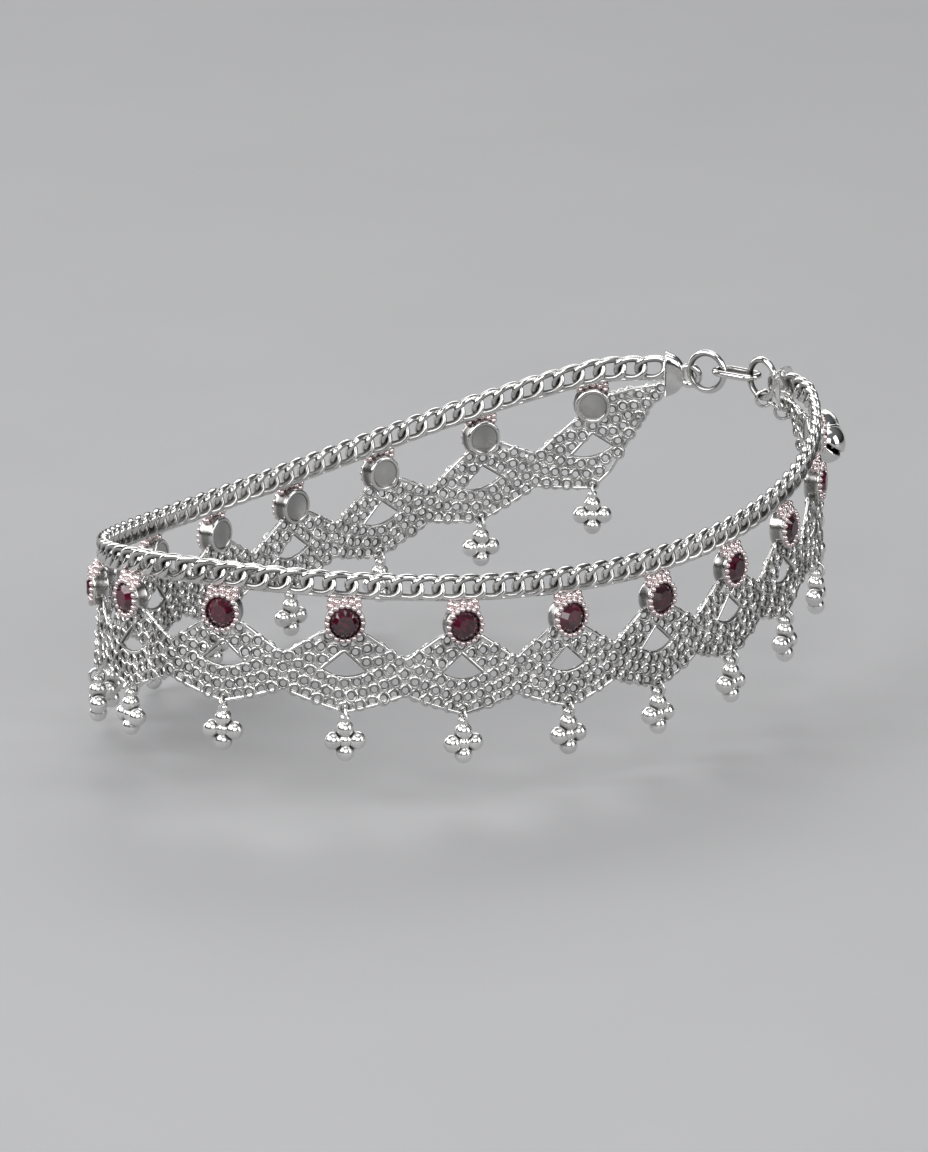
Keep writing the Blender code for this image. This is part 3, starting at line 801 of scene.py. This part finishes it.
def net_rings(centres):
    """Small rings laid close, in turn a little out and in and each a little tilted, as linked
    rings lie. The tilts are random draws."""
    chance = np.random.default_rng(SEED)
    ring_shape = ring(RING_RADIUS, RING_WIRE, 18, 6)
    count = len(centres)
    out = RING_WEAVE * np.where(np.arange(count) % 2 == 0, 1.0, -1.0)
    matrices = stands(centres[:, 0], centres[:, 1], out)
    tilt = np.radians(chance.normal(0.0, RING_TILT, (count, 2)))
    lean = np.tile(np.eye(4), (count, 1, 1))
    lean[:, 1, 2], lean[:, 2, 1] = -np.sin(tilt[:, 0]), np.sin(tilt[:, 0])
    lean[:, 0, 1], lean[:, 1, 0] = -np.sin(tilt[:, 1]), np.sin(tilt[:, 1])
    return copies(ring_shape, matrices @ lean)


def smoothed(corners, steps, closed=False):
    """A line through corners, cut into even steps with its corners rounded."""
    line = np.concatenate([corners, corners[:1]]) if closed else np.asarray(corners, float)
    run = np.concatenate([[0.0], np.cumsum(np.linalg.norm(np.diff(line, axis=0), axis=1))])
    at = np.linspace(0.0, run[-1], steps, endpoint=not closed)
    points = np.stack([np.interp(at, run, line[:, axis]) for axis in range(line.shape[1])], -1)
    for _ in range(2):
        if closed:
            points = 0.25 * (np.roll(points, 1, 0) + np.roll(points, -1, 0)) + 0.5 * points
        else:
            points[1:-1] = 0.25 * (points[2:] + points[:-2]) + 0.5 * points[1:-1]
    return points


def on_sheet(flat):
    """Flat points, along and height, as points along, outward and height."""
    return np.stack([flat[:, 0], 0.0 * flat[:, 0], flat[:, 1]], -1)


def edge_wire(flat):
    """A border wire along flat points, from one stone's place."""
    return wire_run(on_sheet(flat), BORDER_WIRE, 8)


def rail():
    """The thin wire along the chain's lower edge, from cap to cap."""
    along = np.linspace(CAP_FACE - CHAIN_SINK, LOOP_TOTAL - CAP_FACE + CHAIN_SINK, 500)
    under = chain_level(along) - 0.5 * (CHAIN_HEIGHT - RAIL_WIRE)
    return wire_run(np.stack([along, 0.0 * along, under], -1), RAIL_WIRE, 8)


def notch_line():
    """The line from one setting to the next: out level, down to the notch, and up again."""
    level = -NET_SHOULDER - BORDER_SINK
    near, shoulder = 0.24 * HALF, 0.34 * HALF
    return smoothed(np.array([(near, level), (shoulder, level),
                              (HALF, -NOTCH_DEPTH - 0.5 * BORDER_WIRE),
                              (2.0 * HALF - shoulder, level), (2.0 * HALF - near, level)]), 40)


def end_border(edge, start):
    """The border beyond an outer stone, along the upper edge (0) or the lower edge (1)."""
    beyond = np.linspace(start, END_REACH - BORDER_GAP, 30)
    inset = (-0.5, 0.5)[edge] * BORDER_WIRE
    return np.stack([beyond, end_edges(beyond)[edge] + inset], -1)


def border_wires():
    """The wires that edge the net: from setting to setting round each notch, round each gap,
    along the scallops and both ends, and the wire under the chain. The outer scallops have only
    their inner half."""
    gap = smoothed(gap_outline(), 60, closed=True)
    scallop = np.concatenate([LOWER[:0:-1] * (-1.0, 1.0), LOWER]) + (0.0, 0.5 * BORDER_WIRE)
    scallop = smoothed(scallop, 40)
    wires = [rail()]
    wires += [edge_wire(notch_line() + (place, 0.0)) for place in STONES[:-1]]
    for place in STONES:
        first, last = place == STONES[0], place == STONES[-1]
        part = scallop[19 if first else 0:21 if last else 40]
        wires.append(wire_loop(on_sheet(gap + (place, 0.0)), BORDER_WIRE, 8))
        wires.append(edge_wire(part + (place, 0.0)))
    for border in (end_border(0, BORDER_START), end_border(1, 0.0)):
        wires += [edge_wire(border * (side, 1.0) + (place, 0.0))
                  for place, side in ((STONES[0], -1.0), (STONES[-1], 1.0))]
    shape = joined(wires)
    shape.points = bent(shape.points)
    return shape


def setting_cup():
    """A round setting's cup, whose wall leans out a little: a profile turned round the stone's
    axis. Each row is the distance from the axis, the distance out, and the recess, which is
    painted as shade."""
    plate = -SETTING_BACK + 0.00012
    floor = -0.00025
    profile = np.array([
        (0.0, plate, 0.1), (0.00146, plate, 0.3), (0.00154, plate - 0.00002, 0.9),
        (0.00160, -SETTING_BACK, 0.2), (0.00172, -SETTING_BACK, 0.1),
        (0.00185, -SETTING_BACK, 0.0), (0.00196, -0.00054, 0.0), (0.00201, -0.00042, 0.1),
        (0.00203, -0.00030, 0.3), (0.00204, 0.0, 0.6), (0.00210, 0.0006, 0.7),
        (0.00218, 0.00085, 0.2), (BEZEL_RADIUS, 0.00105, 0.0),
        (0.00212, RIM_OUT - 0.0001, 0.5), (0.00175, RIM_OUT - 0.00004, 0.6),
        (0.00166, RIM_OUT - 0.00008, 0.6), (0.00164, 0.0011, 0.8), (0.00168, 0.0008, 1.0),
        (0.00168, -0.00020, 1.0), (0.0015, floor, 1.0), (0.0, floor, 1.0)])
    return turned(profile[:, :2], 40, profile[:, 2])


def setting_beads():
    """The ring of beads on a setting's rim, and the collar of larger beads, with a corner at each
    side, that joins its top to the chain."""
    rim = [turn("Y", 360.0 * step / RIM_BEADS) @ shift(RIM_BEAD_REACH, RIM_OUT - RIM_BEAD_SINK)
           for step in range(RIM_BEADS)]
    collar = [turn("Y", -90.0 + COLLAR_STEP * step) @ shift(COLLAR_REACH, COLLAR_OUT)
              for step in range(-2, 3)]
    side, out, height = COLLAR_CORNER
    collar += [shift(-side, out, height), shift(side, out, height)]
    return joined([copies(ball(RIM_BEAD, 10, 6), rim), copies(ball(COLLAR_BEAD, 12, 8), collar)])


def cap():
    """An end cap: squared oval sections whose height draws in towards the clasp as on half a
    circle, and whose thickness draws in by the square root of that, with a raised edge towards
    the net."""
    share = np.sin(0.5 * math.pi * np.linspace(0.0, 0.995, 16))
    share = np.concatenate([[0.0, 0.0], share])
    size = np.sqrt(1.0 - share ** 2) * (1.0 + 0.07 * np.exp(-(share / 0.10) ** 2))
    size[0] *= 0.9
    around = TAU * np.arange(36) / 36
    wide, tall = squared(around + 0.5 * math.pi, 0.6), squared(around, 0.6)
    points = np.stack([-CAP_LENGTH * share[:, None] + 0.0 * wide,
                       0.5 * CAP_THICKNESS * np.sqrt(size)[:, None] * wide,
                       0.5 * CAP_HEIGHT * size[:, None] * tall], -1)
    return closed_rows(points, (0.0, 0.0, 0.0), (-CAP_LENGTH, 0.0, 0.0))


def end_caps():
    """The two end caps with their eyelets."""
    eye = copies(ring(CAP_EYE_RADIUS, CAP_EYE_WIRE, 32, 12), [shift(EYE_PLACE - CAP_FACE)])
    one = joined([cap(), eye])
    other = Shape(one.points * (-1.0, 1.0, 1.0), one.faces).outward()
    places = stands([CAP_FACE, LOOP_TOTAL - CAP_FACE], CAP_LEVEL)
    return joined([copies(one, places[:1]), copies(other, places[1:])])


def drop():
    """A drop under its bail: four balls set crosswise, each with painted shade where it comes near
    the next, with a small ball as a neck above them and one in the middle."""
    bail = copies(ring(DROP_BAIL_RADIUS, DROP_BAIL_WIRE, 24, 8), [turn("Z", 90.0)])
    top = DROP_BAIL_SINK - DROP_BAIL_RADIUS - 0.5 * DROP_BALL
    middle = top - DROP_ARM
    spots = np.array([(0.0, 0.0, top), (-DROP_ARM, 0.0, middle), (DROP_ARM, 0.0, middle),
                      (0.0, 0.0, middle - DROP_ARM)])
    balls = copies(ball(DROP_BALL, 22, 14), [shift(*spot) for spot in spots])
    # Painted shade: each ball darkens as its points near the next ball.
    away = np.linalg.norm(balls.points[:, None] - spots, axis=-1)
    away = np.sort(away, axis=1)[:, 1] - 0.5 * DROP_BALL
    balls.recess = np.clip(1.0 - away / DROP_SHADE, 0.0, 1.0) ** 1.5
    neck = copies(ball(DROP_NECK, 16, 10), [shift(z=top + DROP_NECK_RISE)])
    grain = copies(ball(DROP_MIDDLE, 16, 10), [shift(z=middle)])
    return joined([bail, balls, neck, grain])


def long_link():
    """The clasp's long link: a wire round two half circles and the straights between them."""
    bend = 0.5 * CLASP_LINK_WIDTH
    reach = 0.5 * CLASP_LINK_LENGTH - bend
    angle = np.linspace(-0.5 * math.pi, 0.5 * math.pi, 13)
    right = np.stack([reach + bend * np.cos(angle), bend * np.sin(angle), 0.0 * angle], -1)
    return wire_loop(np.concatenate([right, right * (-1.0, -1.0, 1.0)]), CLASP_LINK_WIRE, 12,
                     face=(0.0, 0.0, 1.0))


def bell_shell():
    """A bell's hollow ball. Each section across the slit is an open ring with a wall, whose
    mouth is the slit's width and closes to a seam towards both ends. A row of points runs once
    round outside and back inside."""
    outer = 0.5 * BELL_DIAMETER
    steps = 40
    tilt = math.pi * (np.arange(1, BELL_ROWS) / BELL_ROWS - 0.5)
    closing = np.abs(tilt) - math.radians(BELL_MOUTH_END)
    closing = np.clip(closing / math.radians(BELL_CLOSING), 0.0, 1.0)
    mouth = np.arcsin(0.5 * BELL_SLIT / (outer * np.cos(tilt)).clip(BELL_SLIT))
    mouth = mouth * (1.0 - closing) + BELL_CLOSED
    share = np.linspace(0.0, 1.0, steps)
    around = -0.5 * math.pi + mouth[:, None] + (TAU - 2.0 * mouth[:, None]) * share
    outside, inside = (np.stack([reach * np.sin(tilt)[:, None] + 0.0 * around,
                                 reach * np.cos(tilt)[:, None] * np.cos(around),
                                 reach * np.cos(tilt)[:, None] * np.sin(around)], -1)
                       for reach in (outer, outer - BELL_WALL))
    points = np.concatenate([outside, inside[:, ::-1]], 1)
    sides = grid_faces(len(tilt), 2 * steps, False, True)[:, ::-1]
    out = np.arange(steps - 1)
    back = 2 * steps - 1 - out
    low = np.stack([out, out + 1, back - 1, back], -1)
    high = low[:, ::-1] + 2 * steps * (len(tilt) - 1)
    # The inside of the shell is the recess, painted dark as shade.
    recess = np.tile(np.repeat([0.0, 1.0], steps), len(tilt))
    return Shape(points, np.concatenate([sides, low, high]), recess)


def bell():
    """A bell that hangs by its eye: shell, raised seam round the middle, eye."""
    eye_drop = BELL_EYE_RADIUS - SMALL_LINK_WIRE - LINK_CLEARANCE
    middle = eye_drop + BELL_EYE_RADIUS + 0.5 * BELL_DIAMETER - BELL_EYE_SINK
    down = shift(z=-middle)
    seam = wire_loop(circle(0.5 * BELL_DIAMETER, 48), BELL_SEAM, 8)
    eye = ring(BELL_EYE_RADIUS, SMALL_LINK_WIRE, 24, 8)
    shape = joined([copies(bell_shell(), [down]), copies(seam, [down @ turn("X", 90.0)]),
                    copies(eye, [shift(z=-eye_drop)])])
    return shape, middle


def bells_and_links(finish):
    """The small links that hang from the first ring, leaning outwards and away from the clasp,
    and the two bells."""
    hang = stands(RING_PLACE, CAP_LEVEL - CLASP_RING_RADIUS)[0]
    hang = hang @ turn("Z", BELL_TURN) @ turn("X", BELL_LEAN)
    seat = 0.5 * (CLASP_RING_WIRE + SMALL_LINK_WIRE) + LINK_CLEARANCE
    step = 2.0 * SMALL_LINK_RADIUS - SMALL_LINK_WIRE - LINK_CLEARANCE
    low = seat - SMALL_LINK_RADIUS
    link = ring(SMALL_LINK_RADIUS, SMALL_LINK_WIRE, 24, 8)
    for index in range(SMALL_LINK_COUNT):
        place = hang @ shift(z=low - step * index) @ turn("Z", 90.0 if index % 2 == 0 else 0.0)
        show(f"small_link_{index + 1}", copies(link, [place]), finish, [f"bell_link_{index + 1}"])
    shape, middle = bell()
    foot = low - step * (SMALL_LINK_COUNT - 1) - SMALL_LINK_RADIUS
    splay = math.degrees(math.asin(0.5 * (BELL_DIAMETER + BELL_GAP) / middle))
    apart = 0.5 * (SMALL_LINK_WIRE + LINK_CLEARANCE)
    for index, side in enumerate((1.0, -1.0)):
        place = hang @ shift(0.0, side * apart, foot) @ turn("Y", side * splay)
        show(f"round_bell_{index + 1}", copies(shape, [place]), finish, [f"bell_{index + 1}"])


# The pieces, from the top edge down

# Each silver's second colour is the painted shade and dull film in the recesses.
POLISHED = silver("polished silver", (0.84, 0.835, 0.82, 1.0), (0.07, 0.065, 0.06, 1.0), 0.10,
                  0.00004)
RING_SILVER = silver("ring silver", (0.80, 0.795, 0.78, 1.0), (0.045, 0.042, 0.04, 1.0), 0.14,
                     0.00002)
ROSE_SILVER = silver("rose silver", (0.80, 0.69, 0.69, 1.0), (0.10, 0.055, 0.055, 1.0), 0.13,
                     0.00003)
SATIN = silver("satin silver", (0.90, 0.895, 0.88, 1.0), (0.07, 0.065, 0.06, 1.0), 0.21, 0.00003)
GARNET = garnet("garnet")

show("curb_chain", curb_chain(), RING_SILVER, ["top_chain"])
centres = ring_centres()
front = np.abs(centres[:, 0] - 0.5 * LOOP_TOTAL) < 0.25 * LOOP_TOTAL
show("net_rings_front", net_rings(centres[front]), RING_SILVER, ["net"])
show("net_rings_back", net_rings(centres[~front]), RING_SILVER, ["net"])
show("net_borders", border_wires(), RING_SILVER, ["net"])
show("setting_cups", copies(setting_cup(), stands(STONES, 0.0)), POLISHED, ["net"])
show("setting_beads", copies(setting_beads(), stands(STONES, 0.0)), ROSE_SILVER, ["net"])
show("end_caps", end_caps(), POLISHED, ["net"])
one_drop = drop()
for index, place in enumerate(stands(STONES, EYELET_LEVEL) @ shift(z=-DROP_BAIL_RADIUS)):
    number = f"{index + 1:02d}"
    show(f"ball_drop_{number}", copies(one_drop, place), SATIN, [f"drop_{number}"])
    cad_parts[f"stone_{number}"].data.materials[0] = GARNET
clasp_ring = ring(CLASP_RING_RADIUS, CLASP_RING_WIRE, 40, 12)
for index, place in enumerate((RING_PLACE, -RING_PLACE)):
    show(f"round_ring_{index + 1}", copies(clasp_ring, stands(place, CAP_LEVEL)), POLISHED,
         [f"clasp_ring_{index + 1}"])
show("long_link", copies(long_link(), stands(0.0, CAP_LEVEL)), POLISHED, ["clasp_link"])
bells_and_links(POLISHED)


# Floor, light and camera

def pale_floor():
    """A wide pale floor just under the lowest drops."""
    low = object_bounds()[0].z - 0.0001
    mesh = bpy.data.meshes.new("floor")
    mesh.from_pydata([(-4.0, -4.0, low), (4.0, -4.0, low), (4.0, 4.0, low), (-4.0, 4.0, low)], [],
                     [(0, 1, 2, 3)])
    finish = finish_named("pale floor")
    cloud = finish.noise(finish.place(), 30.0, 2.0)
    colour = finish.mixed(cloud, (0.325, 0.325, 0.331, 1.0), (0.35, 0.35, 0.356, 1.0))
    mesh.materials.append(finish.surface(Base_Color=colour, Roughness=0.55))
    floor = bpy.data.objects.new("floor", mesh)
    bpy.context.scene.collection.objects.link(floor)


def soft_light(name, place, size, power):
    """A white rectangular lamp that faces the anklet."""
    data = bpy.data.lights.new(name, "AREA")
    data.shape = "RECTANGLE"
    data.size, data.size_y = size
    data.energy = power
    lamp = bpy.data.objects.new(name, data)
    lamp.location = place
    lamp.rotation_mode = "QUATERNION"
    lamp.rotation_quaternion = (-lamp.location).to_track_quat("-Z", "Y")
    lamp.visible_camera = False
    bpy.context.scene.collection.objects.link(lamp)


def studio_air():
    """The room's light: grey above, dark towards the horizon."""
    world = bpy.data.worlds.new("studio")
    bpy.context.scene.world = world
    air = Finish(world)
    height = air.add("ShaderNodeSeparateXYZ", {}, {0: air.place("Generated")}, "Z")
    share = ((height - 0.10) / 0.85).held()
    colour = air.mixed(share, (0.02, 0.02, 0.022, 1.0), (0.24, 0.244, 0.252, 1.0))
    light = air.add("ShaderNodeBackground", {}, {"Color": colour, "Strength": 0.8})
    air.add("ShaderNodeOutputWorld", {}, {"Surface": light})


def camera():
    """The camera, which looks at the anklet from the photograph's side and height."""
    data = bpy.data.cameras.new("camera")
    data.lens = LENS
    data.sensor_width = 36.0
    data.clip_start, data.clip_end = 0.05, 20.0
    view = bpy.data.objects.new("camera", data)
    bpy.context.scene.collection.objects.link(view)
    back = Vector((math.sin(AZIMUTH) * math.cos(ELEVATION),
                   -math.cos(AZIMUTH) * math.cos(ELEVATION), math.sin(ELEVATION)))
    view.location = Vector(TARGET) + DISTANCE * back
    view.rotation_mode = "QUATERNION"
    view.rotation_quaternion = (-back).to_track_quat("-Z", "Y")
    bpy.context.scene.camera = view


bpy.context.scene.view_settings.view_transform = "Standard"
pale_floor()
soft_light("key", (-0.30, -0.75, 0.62), (0.90, 0.60), 7.5)
soft_light("front", (0.75, -0.66, 0.50), (0.75, 0.50), 5.0)
soft_light("side", (0.95, 0.35, 0.40), (0.45, 0.7), 3.5)
soft_light("left", (-0.95, -0.05, 0.40), (0.35, 0.8), 3.0)
soft_light("back", (-0.60, 0.70, 0.55), (0.9, 0.5), 3.5)
soft_light("top", (0.1, 0.0, 1.1), (0.8, 0.8), 3.5)
studio_air()
camera()
